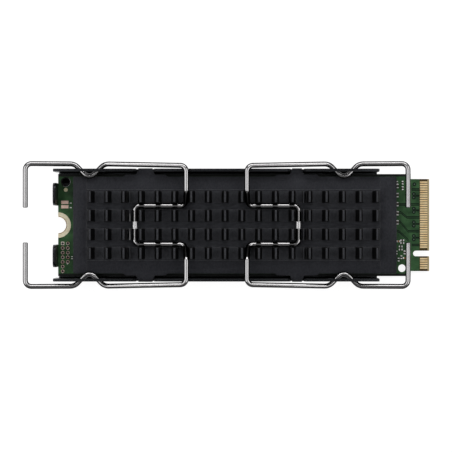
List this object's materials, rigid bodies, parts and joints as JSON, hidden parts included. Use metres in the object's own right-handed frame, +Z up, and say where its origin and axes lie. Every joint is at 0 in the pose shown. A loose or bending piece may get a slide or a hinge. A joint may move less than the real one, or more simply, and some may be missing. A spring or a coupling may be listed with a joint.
{
  "type": "nvme ssd",
  "caption": "Long narrow green circuit board with gold edge contacts in a black sheet tray, under a black finned heat sink held down by bright spring wire clips.",
  "frame": {"origin": "middle of the whole in plan, on the underside of the tray", "axes": "+X towards the edge contacts along the board, +Y across it, +Z up out of the fins"},
  "size_m": [0.087, 0.0272, 0.0086],
  "materials": {
    "board": "satin solder mask",
    "gold": "satin gold plating",
    "land": "satin plating",
    "copper": "satin bare copper",
    "solder": "bright solder",
    "chip": "moulded",
    "ceramic": "fired ceramic",
    "dark_ceramic": "fired ceramic",
    "can": "drawn lid",
    "soft_pad": "matt",
    "anodised": "black anodised",
    "black_sheet": "black coated sheet",
    "spring_wire": "bright drawn wire"
  },
  "bodies": {
    "drive": {"circuit_board": "board", "contacts_top": "gold", "contacts_bottom": "gold", "screw_land_top": "land", "screw_land_bottom": "land", "header_pads": "solder", "service_pads": "copper", "fiducial_mark": "land", "memory_chip_1": "chip", "memory_chip_2": "chip", "buffer_chip": "chip", "controller_chip": "chip", "power_chip": "chip", "power_coils": "dark_ceramic", "timing_crystal": "can", "large_capacitors": "ceramic", "small_capacitors": "ceramic", "resistors": "dark_ceramic", "coupling_capacitors": "ceramic", "capacitor_ends": "solder", "upper_thermal_pad": "soft_pad", "lower_thermal_pad": "soft_pad", "heat_sink": "anodised", "tray": "black_sheet"},
    "left_wire": {"left_clip": "spring_wire"},
    "right_wire": {"right_clip": "spring_wire"}
  },
  "joints": [
    {"name": "left_clip_swing", "type": "hinge", "parent": "drive", "child": "left_wire", "pos_m": [-0.02945, 0, 0.00535], "axis": [0, -1, 0], "range_deg": [0, 12]},
    {"name": "right_clip_swing", "type": "hinge", "parent": "drive", "child": "right_wire", "pos_m": [0.02485, 0, 0.00535], "axis": [0, 1, 0], "range_deg": [0, 12]}
  ]
}
